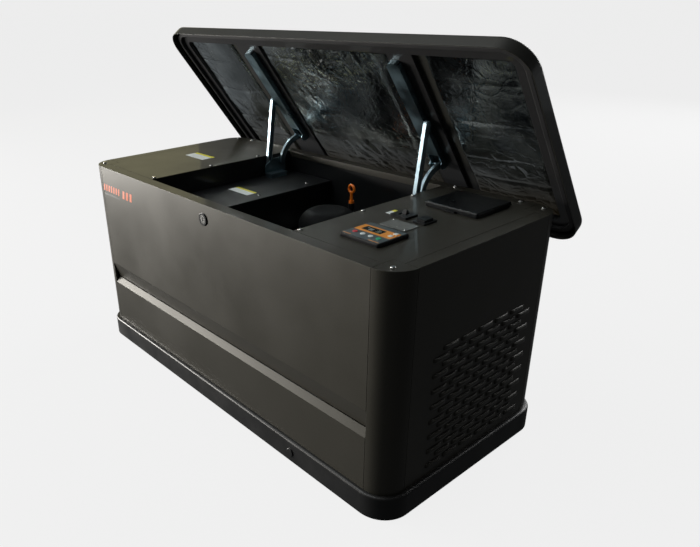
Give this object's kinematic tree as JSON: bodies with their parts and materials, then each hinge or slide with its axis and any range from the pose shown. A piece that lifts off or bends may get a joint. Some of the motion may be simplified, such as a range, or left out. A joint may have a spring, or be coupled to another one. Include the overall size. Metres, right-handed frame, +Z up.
{
  "type": "home standby generator",
  "caption": "Low wide metal cabinet on a moulded base, its lid held open on four-bar hinges over an air-cooled engine, oil dipstick, key panel, breaker and flap.",
  "frame": {"origin": "centre of the base's underside, on the pad", "axes": "+X towards the control end (right of the machine), +Y towards the back where the lid's hinges are, +Z up"},
  "size_m": [1.222, 0.6767, 0.924],
  "materials": {
    "panel_paint": "satin",
    "galvanised_sheet": "satin",
    "base_plastic": "satin",
    "zinc_steel": "satin",
    "screw_steel": "polished",
    "engine_alloy": "satin",
    "blower_plastic": "satin",
    "engine_iron": "matte",
    "cover_black": "satin",
    "filter_black": "gloss",
    "exhaust_steel": "matte",
    "brass_train": "satin",
    "battery_case": "gloss",
    "controller_plastic": "satin",
    "key_red": "satin",
    "key_white": "satin",
    "key_green": "satin",
    "dipstick_orange": "satin",
    "seal_rubber": "matte",
    "foil_liner": "gloss",
    "lock_chrome": "polished",
    "lock_body_plastic": "satin"
  },
  "bodies": {
    "cabinet": {"base_tray": "base_plastic", "base_plug": "base_plastic", "skid_frame": "cover_black", "vibration_mounts": "seal_rubber", "corner_columns": "panel_paint", "front_upper_panel": "panel_paint", "front_lower_panel": "panel_paint", "left_end_panel": "panel_paint", "right_end_panel": "panel_paint", "back_panel": "panel_paint", "top_frame": "galvanised_sheet", "deck_left": "panel_paint", "deck_right": "panel_paint", "well_walls": "galvanised_sheet", "shelf_box": "galvanised_sheet", "deck_screws": "screw_steel", "crankcase": "engine_alloy", "bearings": "engine_iron", "cylinders": "engine_alloy", "rocker_covers": "cover_black", "blower_housing": "blower_plastic", "alternator_housing": "engine_alloy", "stator": "engine_iron", "air_cleaner": "base_plastic", "intake": "base_plastic", "oil_filter": "filter_black", "dipstick_tube": "screw_steel", "exhaust": "exhaust_steel", "gas_train": "brass_train", "battery": "battery_case", "control_box": "base_plastic", "controller": "controller_plastic", "circuit_breaker": "controller_plastic", "service_outlet": "controller_plastic", "hatch_hinge": "base_plastic", "lock_body": "lock_body_plastic", "hinge_brackets": "zinc_steel", "hinge_pins": "zinc_steel"},
    "rear_arms": {"rear_links": "zinc_steel"},
    "lid": {"lid_shell": "panel_paint", "lid_flange": "panel_paint", "lid_seal": "seal_rubber", "lid_ribs": "galvanised_sheet", "lid_liners": "foil_liner", "hinge_channels": "zinc_steel", "lid_striker": "zinc_steel"},
    "front_arms": {"front_links": "zinc_steel"},
    "lock_turning_part": {"lock_barrel": "lock_chrome"},
    "hatch": {"hatch_cover": "base_plastic"},
    "breaker_lever": {"breaker_toggle": "controller_plastic"},
    "oil_dipstick": {"dipstick": "dipstick_orange"},
    "engine_shaft": {"crankshaft": "engine_iron", "flywheel_fan": "engine_iron", "rotor": "engine_iron"},
    "push_key_1_body": {"push_key_1": "key_red"},
    "push_key_2_body": {"push_key_2": "key_white"},
    "push_key_3_body": {"push_key_3": "key_white"},
    "push_key_4_body": {"push_key_4": "key_green"},
    "arrow_key_up_body": {"arrow_key_up": "key_white"},
    "arrow_key_down_body": {"arrow_key_down": "key_white"}
  },
  "joints": [
    {"name": "rear_link_turn", "type": "hinge", "parent": "cabinet", "child": "rear_arms", "pos_m": [0, 0.1967, 0.5393], "axis": [-1, 0, 0], "range_deg": [-122.98, 0]},
    {"name": "lid_turn", "type": "hinge", "parent": "rear_arms", "child": "lid", "pos_m": [0, 0.26583, 0.60412], "axis": [1, 0, 0], "range_deg": [-69.86, 0]},
    {"name": "front_link_turn", "type": "hinge", "parent": "cabinet", "child": "front_arms", "pos_m": [0, 0.1538, 0.5252], "axis": [-1, 0, 0], "range_deg": [-86.9, 0]},
    {"name": "lock_turn", "type": "hinge", "parent": "cabinet", "child": "lock_turning_part", "pos_m": [0, -0.27, 0.521], "axis": [0, -1, 0], "range_deg": [0, 90]},
    {"name": "hatch_turn", "type": "hinge", "parent": "cabinet", "child": "hatch", "pos_m": [0.4405, 0.219, 0.563], "axis": [-1, 0, 0], "range_deg": [0, 60]},
    {"name": "breaker_turn", "type": "hinge", "parent": "cabinet", "child": "breaker_lever", "pos_m": [0.387, -0.008, 0.555], "axis": [1, 0, 0], "range_deg": [0, 44]},
    {"name": "dipstick_pull", "type": "slide", "parent": "cabinet", "child": "oil_dipstick", "axis": [0, 0, 1], "range_m": [0, 0.15]},
    {"name": "shaft_spin", "type": "hinge", "parent": "cabinet", "child": "engine_shaft", "pos_m": [0, 0, 0.205], "axis": [1, 0, 0], "continuous": true},
    {"name": "push_key_1_press", "type": "slide", "parent": "cabinet", "child": "push_key_1_body", "axis": [0, 0, -1], "range_m": [0, 0.001], "stiffness_N_per_m": 500, "springref_m": -0.001},
    {"name": "push_key_2_press", "type": "slide", "parent": "cabinet", "child": "push_key_2_body", "axis": [0, 0, -1], "range_m": [0, 0.001], "stiffness_N_per_m": 500, "springref_m": -0.001},
    {"name": "push_key_3_press", "type": "slide", "parent": "cabinet", "child": "push_key_3_body", "axis": [0, 0, -1], "range_m": [0, 0.001], "stiffness_N_per_m": 500, "springref_m": -0.001},
    {"name": "push_key_4_press", "type": "slide", "parent": "cabinet", "child": "push_key_4_body", "axis": [0, 0, -1], "range_m": [0, 0.001], "stiffness_N_per_m": 500, "springref_m": -0.001},
    {"name": "arrow_key_up_press", "type": "slide", "parent": "cabinet", "child": "arrow_key_up_body", "axis": [0, 0, -1], "range_m": [0, 0.001], "stiffness_N_per_m": 500, "springref_m": -0.001},
    {"name": "arrow_key_down_press", "type": "slide", "parent": "cabinet", "child": "arrow_key_down_body", "axis": [0, 0, -1], "range_m": [0, 0.001], "stiffness_N_per_m": 500, "springref_m": -0.001}
  ],
  "couplings": [
    {"joint": "lid_turn", "follows": "rear_link_turn", "ratio": 0.56766},
    {"joint": "front_link_turn", "follows": "rear_link_turn", "ratio": 0.70623}
  ]
}
